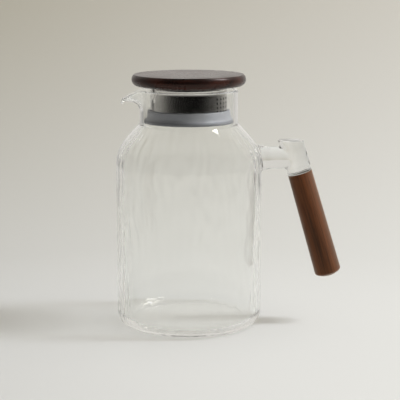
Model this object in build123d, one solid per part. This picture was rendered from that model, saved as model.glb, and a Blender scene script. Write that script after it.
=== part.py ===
from build123d import *
import os
from math import cos, radians, sin, tan

# A glass jug with a pulled spout, a strainer lid that lifts and turns, and a slanted wooden grip.
# Millimetres. The origin is the centre of the base's underside, +Z is up, the handle is at +X
# and the spout at -X. The whole jug is mirror symmetric about the XZ plane.

# Vessel, outside
body_radius = 63.0
base_corner_radius = 11.0
shoulder_start_height = 140.5
shoulder_radius = 35.0
shoulder_slope = 45.0
neck_radius = 42.2
neck_length = 29.2
neck_root_radius = 2.0

# Vessel, walls
body_wall = 2.5
neck_wall = 3.0
floor_thickness = 4.5

# Spout, a half cone pulled out of the neck; its drops are measured down from the rim
spout_projection = 16.6
spout_root_inset = 8.2
spout_root_radius = 14.5
spout_tip_radius = 6.5
spout_tip_axis_drop = 4.2
spout_brow_drop = 3.8
spout_lip_drop = 9.2
spout_wall = 2.2
spout_blend_radius = 5.0

# Glass arm: a level stub from the shoulder, an elbow along the grip and a peg inside the grip
stub_radius = 9.5
stub_rise = 5.4
weld_flare = 1.5
weld_length = 4.0
weld_blend_radius = 4.0
elbow_step = 1.15
elbow_rise = 15.1
elbow_top_rounding = 4.0
peg_radius = 6.0
peg_length = 25.0
peg_end_rounding = 1.5

# Grip: where it seats on the elbow, its slant and its wood
grip_seat_projection = 33.2
grip_seat_drop = 13.1
grip_tilt = 16.4
grip_length = 92.5
grip_foot_radius = 11.5
grip_foot_rounding = 2.5
bush_wall = 1.0
bush_clearance = 0.05
bore_end_gap = 0.5

# Lid disc
lid_gap = 3.0
lid_thickness = 10.0
lid_overhang = 6.8
lid_top_inset = 2.0
lid_underside_inset = 3.7
lid_bulge_share = 0.554

# Drum of the strainer
drum_to_neck_gap = 6.2
drum_sheet = 0.8
drum_depth = 29.5
drum_corner_radius = 1.6
drum_bead_height = 1.6
drum_bead_depth = 0.9

# Strainer holes in the drum's wall, centred on the handle side
hole_diameter = 2.0
hole_rows = 4
hole_row_pitch = 3.5
hole_columns = 12
hole_column_angle = 8.0
hole_top_row_drop = 9.4

# Silicone seal round the drum's foot
seal_cuff_height = 8.5
seal_cuff_wall = 2.3
seal_lip_thickness = 2.0
seal_lip_root_height = 2.5
seal_foot_thickness = 1.4
seal_running_clearance = 0.08
seal_to_neck_clearance = 0.3

# Screws from inside the drum into the disc
screw_count = 3
screw_circle_radius = 18.0
screw_shank_radius = 1.5
screw_length = 7.0
screw_head_radius = 3.0
screw_head_height = 1.6
screw_hole_clearance = 0.15
screw_pilot_clearance = 0.02
screw_end_gap = 0.5

# Places worked out from the sizes above
shoulder_turn = radians(shoulder_slope)
shoulder_end_radius = body_radius - shoulder_radius + shoulder_radius * cos(shoulder_turn)
shoulder_end_height = shoulder_start_height + shoulder_radius * sin(shoulder_turn)
neck_foot_height = shoulder_end_height + (shoulder_end_radius - neck_radius) / tan(shoulder_turn)
rim_height = neck_foot_height + neck_length
stub_height = shoulder_start_height + stub_rise
neck_bore_radius = neck_radius - neck_wall
spout_reach = neck_radius + spout_projection
elbow_radius = stub_radius + elbow_step
grip_bore_radius = peg_radius + bush_wall + bush_clearance
grip_bore_depth = peg_length + bore_end_gap
lid_radius = neck_radius + lid_overhang
lid_underside_height = rim_height + lid_gap
lid_top_height = lid_underside_height + lid_thickness
drum_radius = neck_bore_radius - drum_to_neck_gap
drum_foot_height = lid_underside_height - drum_depth
above_everything = 2.0 * lid_top_height

# The stub runs level along +X, and the grip's axis runs down and outwards from its seat
stub_plane = Plane(origin=(0, 0, stub_height), x_dir=(0, 1, 0), z_dir=(1, 0, 0))
grip_seat_reach = body_radius + grip_seat_projection
grip_seat = Vector(grip_seat_reach, 0, stub_height - grip_seat_drop)
grip_down = Vector(sin(radians(grip_tilt)), 0, -cos(radians(grip_tilt)))
grip_plane = Plane(origin=grip_seat, x_dir=(0, 1, 0), z_dir=grip_down)

# A rod, cone or box placed by the middle of its near end
from_its_end = (Align.CENTER, Align.CENTER, Align.MIN)


def turned(edges):
    """Turn a closed outline, drawn as radius and height, about the jug's axis."""
    return revolve(Plane.XZ * make_face(edges), axis=Axis.Z)


def rod(radius, length):
    """A round rod that stands on the origin."""
    return Cylinder(radius, length, align=from_its_end)


def vessel_blank(wall, floor_height, neck_wall_here):
    """The vessel's outline as a solid, drawn in by its walls, with the neck run on past the rim."""
    side = body_radius - wall
    corner = base_corner_radius - wall
    foot = CenterArc((side - corner, floor_height + corner), corner, -90, 90)
    shoulder_centre = (body_radius - shoulder_radius, shoulder_start_height)
    shoulder = CenterArc(shoulder_centre, shoulder_radius - wall, 0, shoulder_slope)
    shoulder_end = shoulder @ 1
    neck = neck_radius - neck_wall_here
    neck_foot = (neck, shoulder_end.Y + (shoulder_end.X - neck) / tan(shoulder_turn))
    outline = [
        Line((0, floor_height), foot @ 0),
        foot,
        Line(foot @ 1, shoulder @ 0),
        shoulder,
        Line(shoulder_end, neck_foot),
        Line(neck_foot, (neck, above_everything)),
        Line((neck, above_everything), (0, above_everything)),
        Line((0, above_everything), (0, floor_height)),
    ]
    return turned(outline)


def with_spout(blank, wall):
    """Join the spout's cone, drawn in by its wall, to a vessel blank and blend the seam."""
    root = Vector(spout_root_inset - neck_radius, 0, rim_height)
    tip = Vector(-spout_reach, 0, rim_height - spout_tip_axis_drop)
    along = tip - root
    cone = Cone(spout_root_radius - wall, spout_tip_radius - wall, along.length, align=from_its_end)
    joined = blank + Plane(origin=root, x_dir=(0, 1, 0), z_dir=along) * cone
    seam = joined.edges().filter_by(GeomType.BSPLINE)
    seam = [edge for edge in seam if edge.bounding_box().max.X < 0]
    return fillet(seam, spout_blend_radius)


def above_the_rim():
    """Everything above the rim's plane and above the brow that droops to the spout's lip."""
    brow_start = (-neck_radius, rim_height)
    brow_middle = (-(neck_radius + spout_reach) / 2, rim_height - spout_brow_drop)
    lip = (-spout_reach, rim_height - spout_lip_drop)
    far = above_everything
    outline = [
        Line((far, rim_height), brow_start),
        ThreePointArc(brow_start, brow_middle, lip),
        Line(lip, (-far, lip[1])),
        Line((-far, lip[1]), (-far, far)),
        Line((-far, far), (far, far)),
        Line((far, far), (far, rim_height)),
    ]
    return extrude(Plane.XZ * make_face(outline), amount=body_radius, both=True)


def vessel_outside():
    """The vessel as if it were solid, with the rounded root of its neck and its spout."""
    blank = vessel_blank(0, 0, 0)
    circles = blank.edges().filter_by(GeomType.CIRCLE).sort_by(Axis.Z)
    neck_circles = [edge for edge in circles if abs(edge.radius - neck_radius) < 0.01]
    blank = fillet(neck_circles[0], neck_root_radius)
    return with_spout(blank, 0)


def vessel_inside():
    """The room inside the vessel and its spout."""
    return with_spout(vessel_blank(body_wall, floor_thickness, neck_wall), spout_wall)


def make_jug_body():
    """The glass vessel: walls and floor in one piece, open at the rim and the spout."""
    return vessel_outside() - vessel_inside() - above_the_rim()


def make_handle_arm():
    """The solid glass stub, elbow and peg, met face to face with the vessel's wall."""
    elbow_length = (grip_seat_drop + elbow_rise) / cos(radians(grip_tilt)) + elbow_radius
    elbow = grip_plane * Pos(0, 0, -elbow_length) * rod(elbow_radius, elbow_length)
    trim = Box(8 * elbow_radius, 8 * elbow_radius, 8 * elbow_radius, align=from_its_end)
    elbow = elbow - Pos(grip_seat_reach, 0, stub_height + elbow_rise) * trim
    elbow = fillet(elbow.edges().sort_by(Axis.Z)[-1], elbow_top_rounding)
    elbow_reach = grip_seat_reach - grip_seat_drop * tan(radians(grip_tilt))
    joined = elbow + stub_plane * rod(stub_radius, elbow_reach)
    seam = joined.edges().filter_by(GeomType.BSPLINE)
    seam = [edge for edge in seam if edge.bounding_box().size.Z > stub_radius]
    joined = fillet(seam, weld_blend_radius)
    weld = Cone(stub_radius + weld_flare, stub_radius, 2 * weld_length, align=from_its_end)
    weld = stub_plane * Pos(0, 0, body_radius - weld_length) * weld
    peg = grip_plane * rod(peg_radius, peg_length)
    peg = fillet(peg.edges().sort_by(Axis.Z)[0], peg_end_rounding)
    return joined + weld + peg - vessel_outside()


def make_grip_bush():
    """The elastic sleeve between the glass peg and the grip's bore."""
    return grip_plane * (rod(peg_radius + bush_wall, peg_length) - rod(peg_radius, peg_length))


def make_handle_grip():
    """The turned wooden grip, wider at its foot, with a blind bore for the bush."""
    wood = Cone(elbow_radius, grip_foot_radius, grip_length, align=from_its_end)
    wood = fillet(wood.edges().sort_by(Axis.Z)[-1], grip_foot_rounding)
    return grip_plane * (wood - rod(grip_bore_radius, grip_bore_depth))


def at_the_screws(shape):
    """The shape at each screw's axis on the lid, with the first towards the handle."""
    return Pos(0, 0, lid_underside_height) * PolarLocations(screw_circle_radius, screw_count) * shape


def make_lid_disc():
    """The turned wooden disc with a bulging edge and three pilot holes underneath."""
    underside = (lid_radius - lid_underside_inset, lid_underside_height)
    bulge = (lid_radius, lid_underside_height + lid_thickness * lid_bulge_share)
    top = (lid_radius - lid_top_inset, lid_top_height)
    outline = [
        Line((0, lid_underside_height), underside),
        ThreePointArc(underside, bulge, top),
        Line(top, (0, lid_top_height)),
        Line((0, lid_top_height), (0, lid_underside_height)),
    ]
    pilot_depth = screw_length - drum_sheet + screw_end_gap
    pilot = rod(screw_shank_radius + screw_pilot_clearance, pilot_depth)
    return turned(outline) - at_the_screws(pilot)


def strainer_holes():
    """The cutters of the strainer's holes, in rows and columns centred on +X."""
    cutter = Plane(origin=(drum_radius, 0, 0), x_dir=(0, 1, 0), z_dir=(1, 0, 0))
    cutter = cutter * Cylinder(hole_diameter / 2, 8 * drum_sheet)
    top_row_height = lid_underside_height - hole_top_row_drop
    cutters = []
    for column in range(hole_columns):
        turn = (column - (hole_columns - 1) / 2) * hole_column_angle
        for row in range(hole_rows):
            height = top_row_height - row * hole_row_pitch
            cutters.append(Pos(0, 0, height) * Rot(0, 0, turn) * cutter)
    return cutters


def make_lid_drum():
    """The pressed steel drum: closed top, open foot with an outward bead, and strainer holes."""
    inner = drum_radius - drum_sheet
    top = lid_underside_height
    foot = drum_foot_height
    corner_centre = (drum_radius - drum_corner_radius, top - drum_corner_radius)
    outer_corner = CenterArc(corner_centre, drum_corner_radius, 0, 90)
    inner_corner = CenterArc(corner_centre, drum_corner_radius - drum_sheet, 0, 90)
    bead_crest = (drum_radius + drum_bead_depth, foot + drum_bead_height / 2)
    bead = ThreePointArc((drum_radius, foot), bead_crest, (drum_radius, foot + drum_bead_height))
    outline = [
        Line((0, top), outer_corner @ 1),
        outer_corner,
        Line(outer_corner @ 0, bead @ 1),
        bead,
        Line(bead @ 0, (inner, foot)),
        Line((inner, foot), inner_corner @ 0),
        inner_corner,
        Line(inner_corner @ 1, (0, top - drum_sheet)),
        Line((0, top - drum_sheet), (0, top)),
    ]
    screw_hole = Cylinder(screw_shank_radius + screw_hole_clearance, 4 * drum_sheet)
    return turned(outline) - at_the_screws(screw_hole) - strainer_holes()


def make_lid_seal():
    """The silicone ring: a cuff on the drum, a groove for its bead and a lip towards the neck."""
    clearance = seal_running_clearance
    bore = drum_radius + clearance
    cuff = drum_radius + seal_cuff_wall
    lip = neck_bore_radius - seal_to_neck_clearance
    foot_bore = drum_radius - drum_sheet
    groove_foot = drum_foot_height - clearance
    groove_top = drum_foot_height + drum_bead_height + clearance
    groove_crest = (drum_radius + drum_bead_depth + clearance, drum_foot_height + drum_bead_height / 2)
    top = drum_foot_height + seal_cuff_height
    foot = groove_foot - seal_foot_thickness
    lip_top = foot + seal_lip_thickness
    outside = Polyline(
        (bore, groove_top),
        (bore, top),
        (cuff, top),
        (cuff, lip_top + seal_lip_root_height),
        (lip, lip_top),
        (lip, foot),
        (foot_bore, foot),
        (foot_bore, groove_foot),
        (bore, groove_foot),
    )
    groove = ThreePointArc((bore, groove_top), groove_crest, (bore, groove_foot))
    return turned([*outside.edges(), groove])


def make_lid_screws():
    """Three pan-head screws from inside the drum into the disc."""
    head = Cylinder(screw_head_radius, screw_head_height, align=(Align.CENTER, Align.CENTER, Align.MAX))
    head = fillet(head.edges().sort_by(Axis.Z)[0], screw_head_height / 2)
    screw = head + rod(screw_shank_radius, screw_length)
    return Part() + at_the_screws(Pos(0, 0, -drum_sheet) * screw)


subparts = {
    "jug_body": make_jug_body,
    "handle_arm": make_handle_arm,
    "grip_bush": make_grip_bush,
    "handle_grip": make_handle_grip,
    "lid_disc": make_lid_disc,
    "lid_drum": make_lid_drum,
    "lid_seal": make_lid_seal,
    "lid_screws": make_lid_screws,
}

os.makedirs("parts", exist_ok=True)
for name, make in subparts.items():
    shape = make()
    export_step(shape, f"parts/{name}.step")
    print(f"{name:14s} {shape.volume:12.1f} mm3")
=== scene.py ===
"""The looks of a glass water jug with a strainer lid and a wooden grip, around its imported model.

Lengths are metres, +Z is up, the grip is at +X and the spout at -X.
"""

import logging
import math
from collections.abc import Callable
from dataclasses import dataclass
from enum import Enum
from functools import cache

import bmesh
import bpy
from mathutils import Matrix, Quaternion, Vector, noise


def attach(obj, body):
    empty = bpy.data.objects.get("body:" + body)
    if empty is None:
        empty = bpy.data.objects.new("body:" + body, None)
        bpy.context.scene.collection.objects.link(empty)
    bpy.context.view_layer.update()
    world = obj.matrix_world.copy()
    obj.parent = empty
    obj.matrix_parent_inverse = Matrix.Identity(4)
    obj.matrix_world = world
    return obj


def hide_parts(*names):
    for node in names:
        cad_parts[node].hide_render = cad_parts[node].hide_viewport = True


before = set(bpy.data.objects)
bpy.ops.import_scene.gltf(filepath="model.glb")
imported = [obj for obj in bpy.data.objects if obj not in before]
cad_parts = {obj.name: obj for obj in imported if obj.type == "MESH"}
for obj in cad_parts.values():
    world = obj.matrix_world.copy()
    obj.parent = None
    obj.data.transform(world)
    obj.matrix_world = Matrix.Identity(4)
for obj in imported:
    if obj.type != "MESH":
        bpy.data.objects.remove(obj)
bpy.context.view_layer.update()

MM = 0.001
SAME = 0.01 * MM
FLAME_NARROWS = 0.6
log = logging.getLogger("jug")

Colour = tuple[float, float, float, float]
Walls = tuple[tuple[float, float], ...]
Inputs = dict[str | int, object]
Socket = bpy.types.NodeSocket
Shape = bmesh.types.BMesh
Piece = bpy.types.Object
Node = bpy.types.Node


def ease(value: float, low: float, high: float) -> float:
    """Rise smoothly from 0 at low to 1 at high.

    Args:
        value: where to read the rise.
        low: where it is still 0.
        high: where it has become 1.

    Returns:
        A number from 0 to 1.
    """
    share = min(max((value - low) / (high - low), 0.0), 1.0)
    return share * share * (3.0 - 2.0 * share)


# Shaping


@dataclass(frozen=True)
class Corner:
    """A corner of a turned piece's section."""

    radius: float
    height: float
    rounding: float = 0.0

    def place(self) -> Vector:
        """Return the corner as a point of the XZ plane."""
        return Vector((self.radius, 0.0, self.height))


@dataclass(frozen=True)
class Section:
    """The section of a turned piece: its corners, and how finely it is drawn."""

    corners: tuple[Corner, ...]
    closed: bool = False
    step: float = 2.0 * MM
    turn: float = math.radians(10.0)

    def _arc(self, before: Corner, here: Corner, after: Corner) -> list[Vector]:
        """Round one corner.

        Args:
            before: the corner before it.
            here: the corner to round.
            after: the corner after it.

        Returns:
            The points of its arc, or the corner alone where it stays sharp.
        """
        middle = here.place()
        if here.rounding <= 0.0:
            return [middle]
        back = (before.place() - middle).normalized()
        ahead = (after.place() - middle).normalized()
        half = back.angle(ahead) / 2.0
        centre = middle + (back + ahead).normalized() * (here.rounding / math.sin(half))
        start = middle + back * (here.rounding / math.tan(half)) - centre
        end = middle + ahead * (here.rounding / math.tan(half)) - centre
        sweep = start.angle(end)
        count = max(2, math.ceil(sweep / self.turn), math.ceil(sweep * here.rounding / self.step))
        axis = start.cross(end).normalized()
        return [centre + Quaternion(axis, sweep * i / count) @ start for i in range(count + 1)]

    def points(self) -> list[Vector]:
        """Return the section's points, no further apart than the step."""
        corners = self.corners
        if self.closed:
            corners = (corners[-1], *corners, corners[0])
        rings = [self._arc(*three) for three in zip(corners, corners[1:], corners[2:])]
        if self.closed:
            rings.append(rings[0][:1])
        else:
            rings = [[corners[0].place()], *rings, [corners[-1].place()]]
        drawn = [rings[0][0]]
        for ring in rings:
            for point in ring:
                start = drawn[-1]
                gap = (point - start).length
                if gap < SAME:
                    continue
                pieces = math.ceil(gap / self.step - 0.01)
                drawn += [start.lerp(point, (i + 1) / pieces) for i in range(pieces)]
        return drawn


def turned(section: Section, steps: int, placing: Matrix | None = None) -> Shape:
    """Turn a section about the Z axis into a closed shape.

    Args:
        section: what is turned. An open one starts and ends on the axis.
        steps: flats round a full turn.
        placing: where the finished shape goes, if not upright on the origin.

    Returns:
        The shape, with its faces outwards.
    """
    shape = bmesh.new()
    verts = [shape.verts.new(point) for point in section.points()]
    if section.closed:
        shape.verts.remove(verts.pop())
    pairs = list(zip(verts, verts[1:]))
    if section.closed:
        pairs.append((verts[-1], verts[0]))
    edges = [shape.edges.new(pair) for pair in pairs]
    bmesh.ops.spin(
        shape,
        geom=verts + edges,
        cent=(0.0, 0.0, 0.0),
        axis=(0.0, 0.0, 1.0),
        angle=math.tau,
        steps=steps,
        use_merge=True,
    )
    bmesh.ops.remove_doubles(shape, verts=shape.verts[:], dist=0.002 * MM)
    bmesh.ops.recalc_face_normals(shape, faces=shape.faces[:])
    if placing is not None:
        bmesh.ops.transform(shape, matrix=placing, verts=shape.verts[:])
    return shape


def finished(shape: Shape, name: str, finish: "Finish | None" = None) -> Piece:
    """Make a smooth-shaded object of a shape and put it in the scene.

    Args:
        shape: the shape, which is used up.
        name: the piece's name.
        finish: the finish that it gets, if any.

    Returns:
        The object, at the origin.
    """
    mesh = bpy.data.meshes.new(name)
    for face in shape.faces:
        face.smooth = True
    shape.to_mesh(mesh)
    shape.free()
    piece = bpy.data.objects.new(name, mesh)
    bpy.context.scene.collection.objects.link(piece)
    if finish:
        mesh.materials.append(finish.material())
    return piece


class Joining(Enum):
    """How two closed shapes are combined."""

    WELD = "UNION"
    CUT = "DIFFERENCE"


def combined(first: Shape, second: Shape, joining: Joining) -> Shape:
    """Weld two closed shapes, or cut the second out of the first.

    Args:
        first: the shape that stays. It is used up.
        second: the shape that is welded on or cut out. It is used up.
        joining: which of the two is done.

    Returns:
        The combined shape.
    """
    base, other = finished(first, "combining"), finished(second, "combining_with")
    modifier = base.modifiers.new("combine", "BOOLEAN")
    modifier.operation = joining.value
    modifier.solver = "EXACT"
    modifier.object = other
    seen = base.evaluated_get(bpy.context.evaluated_depsgraph_get())
    mesh = bpy.data.meshes.new_from_object(seen)
    shape = bmesh.new()
    shape.from_mesh(mesh)
    for used in (base, other):
        used_mesh = used.data
        bpy.data.objects.remove(used)
        bpy.data.meshes.remove(used_mesh)
    bpy.data.meshes.remove(mesh)
    return shape


def melted(shape: Shape, distance: Callable[[Vector], float], reach: float, rounds: int) -> None:
    """Soften a welded seam as a flame does.

    Args:
        shape: the welded shape.
        distance: how far a point is from the seam.
        reach: how far from the seam the glass runs.
        rounds: how often it is smoothed.
    """
    near = [(distance(vert.co), vert) for vert in shape.verts]
    near = [(gap, vert) for gap, vert in near if gap < reach]
    for i in range(rounds):
        width = reach * (1.0 - FLAME_NARROWS * i / rounds)
        verts = [vert for gap, vert in near if gap < width]
        axes = {f"use_axis_{axis}": True for axis in "xyz"}
        bmesh.ops.smooth_vert(shape, verts=verts, factor=0.5, **axes)


# Materials


class Wiring:
    """A node tree that is being wired."""

    def __init__(self, tree: bpy.types.NodeTree) -> None:
        """Start on the tree of a material, a group or a world."""
        self.tree = tree

    def feed(self, node: Node, inputs: Inputs) -> Node:
        """Give a node its inputs.

        Args:
            node: the node.
            inputs: a value or another node's output for each named or numbered input.

        Returns:
            The same node.
        """
        for key, value in inputs.items():
            if isinstance(value, Socket):
                self.tree.links.new(value, node.inputs[key])
            else:
                node.inputs[key].default_value = value
        return node

    def add(self, kind: str, inputs: Inputs | None = None, **settings: object) -> Node:
        """Add a node.

        Args:
            kind: the node's type, without its ShaderNode prefix.
            inputs: what it is fed.
            settings: the node's own settings.

        Returns:
            The node.
        """
        node = self.tree.nodes.new("ShaderNode" + kind)
        for key, value in settings.items():
            setattr(node, key, value)
        return self.feed(node, inputs or {})

    def sum(self, operation: str, *values: object, clamp: bool = False) -> Socket:
        """Do a sum on numbers or their sockets."""
        return self.add("Math", dict(enumerate(values)), operation=operation, use_clamp=clamp).outputs[0]

    def vector_sum(self, operation: str, *values: object) -> Socket:
        """Do a sum on vectors or their sockets."""
        return self.add("VectorMath", dict(enumerate(values)), operation=operation).outputs[0]

    def scaled(self, vector: object, scale: Socket) -> Socket:
        """Scale a vector."""
        return self.add("VectorMath", {0: vector, "Scale": scale}, operation="SCALE").outputs[0]

    def length(self, vector: Socket) -> Socket:
        """Measure a vector."""
        return self.add("VectorMath", {0: vector}, operation="LENGTH").outputs["Value"]

    def mixed(self, share: object, first: object, second: object, blend: str = "MIX") -> Socket:
        """Mix two colours or their sockets, by the share of the second."""
        inputs = {0: share, 6: first, 7: second}
        return self.add("Mix", inputs, data_type="RGBA", blend_type=blend).outputs[2]

    def ranged(
        self, value: Socket, low: float, high: float, new_low: float = 0.0, new_high: float = 1.0
    ) -> Socket:
        """Map the range from low to high onto the new one, and go no further."""
        inputs = {0: value, 1: low, 2: high, 3: new_low, 4: new_high}
        return self.add("MapRange", inputs, clamp=True).outputs[0]

    def noise(self, place: Socket, scale: Vector, detail: float = 2.0) -> Socket:
        """Add noise that is stretched along the axes.

        Args:
            place: where it is read.
            scale: waves per metre along each axis.
            detail: how many finer layers it has.

        Returns:
            The noise, about 0.5 on average.
        """
        stretched = self.vector_sum("MULTIPLY", place, scale)
        return self.add("TexNoise", {"Vector": stretched, "Scale": 1.0, "Detail": detail}).outputs[0]

    def turned_back(self) -> Socket:
        """Return 1 for light that a surface has mirrored or scattered, and 0 for the camera's own view."""
        path = self.add("LightPath").outputs
        return self.sum("ADD", path["Glossy Depth"], path["Diffuse Depth"], clamp=True)


class Effects:
    """The effects that several materials share, each built once as a node group.

    The walnut's noises have their waves per metre along the fibres first, then across them.
    """

    bends = Vector((7.0, 26.0, 26.0))
    bend_reach = 12.0 * MM
    bend_way = Vector((0.0, 1.0, 0.7))
    ring_taper = Vector((0.02, 1.0, 1.0))
    streaks = Vector((9.0, 190.0, 190.0))
    fibres = Vector((24.0, 900.0, 900.0))
    pores = Vector((150.0, 2600.0, 2600.0))
    noise_span = (0.3, 0.7)
    pore_span = (0.62, 0.74)
    ring_tone = 0.45
    streak_tone = 0.55
    fibre_tone = 0.55
    fibre_height = 0.4
    pore_depth = 0.55
    pore_colour: Colour = (0.012, 0.006, 0.004, 1.0)
    clouds = Vector((1.0, 1.0, 1.0))
    cloud_span = (0.48, 0.72)
    ripples = Vector((7.0, 7.0, 7.0))

    @staticmethod
    def _group(
        name: str, takes: dict[str, str], gives: dict[str, str]
    ) -> tuple[Wiring, Node, Node]:
        """Start a group.

        Args:
            name: the effect's name.
            takes: its inputs and their socket types.
            gives: its outputs and their socket types.

        Returns:
            The group's wiring, its input node and its output node.
        """
        tree = bpy.data.node_groups.new(name, "ShaderNodeTree")
        for way, sockets in (("INPUT", takes), ("OUTPUT", gives)):
            for label, kind in sockets.items():
                tree.interface.new_socket(label, in_out=way, socket_type="NodeSocket" + kind)
        return Wiring(tree), tree.nodes.new("NodeGroupInput"), tree.nodes.new("NodeGroupOutput")

    @classmethod
    @cache
    def grain(cls) -> bpy.types.NodeTree:
        """Return the walnut grain: growth rings, fibres and pores along the local X axis."""
        takes = {"Place": "Vector", "Dark": "Color", "Light": "Color", "Ring Spacing": "Float"}
        gives = {"Color": "Color", "Pores": "Float", "Height": "Float"}
        wire, start, end = cls._group("walnut_grain", takes, gives)
        place = start.outputs["Place"]
        bend = wire.sum("SUBTRACT", wire.noise(place, cls.bends), 0.5)
        shift = wire.scaled(cls.bend_way, wire.sum("MULTIPLY", bend, cls.bend_reach))
        across = wire.vector_sum("MULTIPLY", wire.vector_sum("ADD", place, shift), cls.ring_taper)
        ring = wire.sum("DIVIDE", wire.length(across), start.outputs["Ring Spacing"])
        inputs = {"W": ring, "Scale": 1.0, "Detail": 1.5}
        rings = wire.ranged(wire.add("TexNoise", inputs, noise_dimensions="1D").outputs[0], *cls.noise_span)
        streaks = wire.ranged(wire.noise(place, cls.streaks, 3.0), *cls.noise_span)
        fibres = wire.ranged(wire.noise(place, cls.fibres, 3.0), *cls.noise_span)
        pores = wire.ranged(wire.noise(place, cls.pores, 1.0), *cls.pore_span)
        tone = wire.sum("MULTIPLY_ADD", streaks, cls.streak_tone, wire.sum("MULTIPLY", rings, cls.ring_tone))
        tone = wire.sum("MULTIPLY_ADD", wire.sum("SUBTRACT", fibres, 0.5), cls.fibre_tone, tone, clamp=True)
        colour = wire.mixed(tone, start.outputs["Dark"], start.outputs["Light"])
        colour = wire.mixed(wire.sum("MULTIPLY", pores, cls.pore_depth), colour, cls.pore_colour)
        height = wire.sum("SUBTRACT", wire.sum("MULTIPLY", fibres, cls.fibre_height), pores)
        wire.feed(end, {"Color": colour, "Pores": pores, "Height": height})
        return wire.tree

    @classmethod
    @cache
    def handling(cls) -> bpy.types.NodeTree:
        """Return the marks of handling: soft smudges and a fine unevenness."""
        takes = {"Place": "Vector", "Spread": "Float"}
        wire, start, end = cls._group("handling_marks", takes, {"Smudge": "Float", "Unevenness": "Float"})
        place = wire.scaled(start.outputs["Place"], start.outputs["Spread"])
        smudge = wire.ranged(wire.noise(place, cls.clouds, 4.0), *cls.cloud_span)
        wire.feed(end, {"Smudge": smudge, "Unevenness": wire.noise(place, cls.ripples, 3.0)})
        return wire.tree


class GrainWay(Enum):
    """Which way the grain of a wooden piece runs."""

    ACROSS_THE_JUG = "straight across, from spout to grip"
    ALONG_THE_GRIP = "down the slanted grip"


@dataclass(frozen=True)
class Finish:
    """What every finish has: a name, the marks of handling, and a relief too shallow to model."""

    name: str
    marks_per_metre: float = 60.0
    relief: float = 0.15
    relief_depth: float = 0.05 * MM

    def _start(self) -> tuple[bpy.types.Material, Wiring, Node, Socket]:
        """Start the material.

        Returns:
            The material, its wiring, its main shader and the place in the jug's frame.
        """
        material = bpy.data.materials.new(self.name)
        material.use_nodes = True
        material.node_tree.nodes.clear()
        wire = Wiring(material.node_tree)
        shader = wire.add("BsdfPrincipled")
        wire.add("OutputMaterial", {"Surface": shader.outputs[0]})
        return material, wire, shader, wire.add("TexCoord").outputs["Object"]

    def _marks(self, wire: Wiring, place: Socket) -> tuple[Socket, Socket]:
        """Place the marks of handling and return their smudges and their unevenness."""
        inputs = {"Place": place, "Spread": self.marks_per_metre}
        return tuple(wire.add("Group", node_tree=Effects.handling(), inputs=inputs).outputs)

    def _bump(self, wire: Wiring, height: Socket) -> Socket:
        """Return the normals of the relief with this height."""
        inputs = {"Height": height, "Strength": self.relief, "Distance": self.relief_depth}
        return wire.add("Bump", inputs).outputs[0]

    def _open(self, wire: Wiring, shader: Node, share: Socket, clear: object) -> None:
        """Let light straight through the surface.

        Args:
            wire: the material's wiring.
            shader: its main shader.
            share: how much of the light passes.
            clear: the colour or socket that the light takes on.
        """
        passed = wire.add("BsdfTransparent", {"Color": clear}).outputs[0]
        both = wire.add("MixShader", {0: share, 1: shader.outputs[0], 2: passed})
        output = next(node for node in wire.tree.nodes if node.type == "OUTPUT_MATERIAL")
        wire.feed(output, {"Surface": both.outputs[0]})


@dataclass(frozen=True)
class Walnut(Finish):
    """Oiled or stained walnut."""

    dark: Colour = (0.03, 0.012, 0.006, 1.0)
    light: Colour = (0.12, 0.045, 0.02, 1.0)
    ring_spacing: float = 5.0 * MM
    smooth: float = 0.3
    open_pores: float = 0.5
    smudged: float = 0.06
    shine: float = 0.25
    bloom: float = 0.0
    bloom_spread: float = 0.5
    sheen: Colour = (1.0, 0.9, 0.83, 1.0)
    way: GrainWay = GrainWay.ACROSS_THE_JUG
    heart: Vector = Vector((0.0, 0.0, 0.0))
    slant: float = 0.0
    marks_per_metre: float = 45.0
    relief: float = 0.25

    def material(self) -> bpy.types.Material:
        """Return the material, with its grain laid the right way."""
        material, wire, shader, place = self._start()
        laid = wire.vector_sum("SUBTRACT", place, self.heart)
        if self.way is GrainWay.ALONG_THE_GRIP:
            inputs = {"Vector": laid, "Angle": self.slant}
            laid = wire.add("VectorRotate", inputs, rotation_type="Y_AXIS").outputs[0]
        inputs = {"Place": laid, "Dark": self.dark, "Light": self.light, "Ring Spacing": self.ring_spacing}
        grain = wire.add("Group", node_tree=Effects.grain(), inputs=inputs).outputs
        smudge, _ = self._marks(wire, place)
        rough = wire.ranged(grain["Pores"], 0.0, 1.0, self.smooth, self.open_pores)
        looks = {
            "Base Color": grain["Color"],
            "Roughness": wire.sum("MULTIPLY_ADD", smudge, self.smudged, rough),
            "Normal": self._bump(wire, grain["Height"]),
            "Specular IOR Level": self.shine,
            "Specular Tint": self.sheen,
            "Sheen Weight": self.bloom,
            "Sheen Roughness": self.bloom_spread,
            "Sheen Tint": self.sheen,
        }
        wire.feed(shader, looks)
        return material


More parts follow.
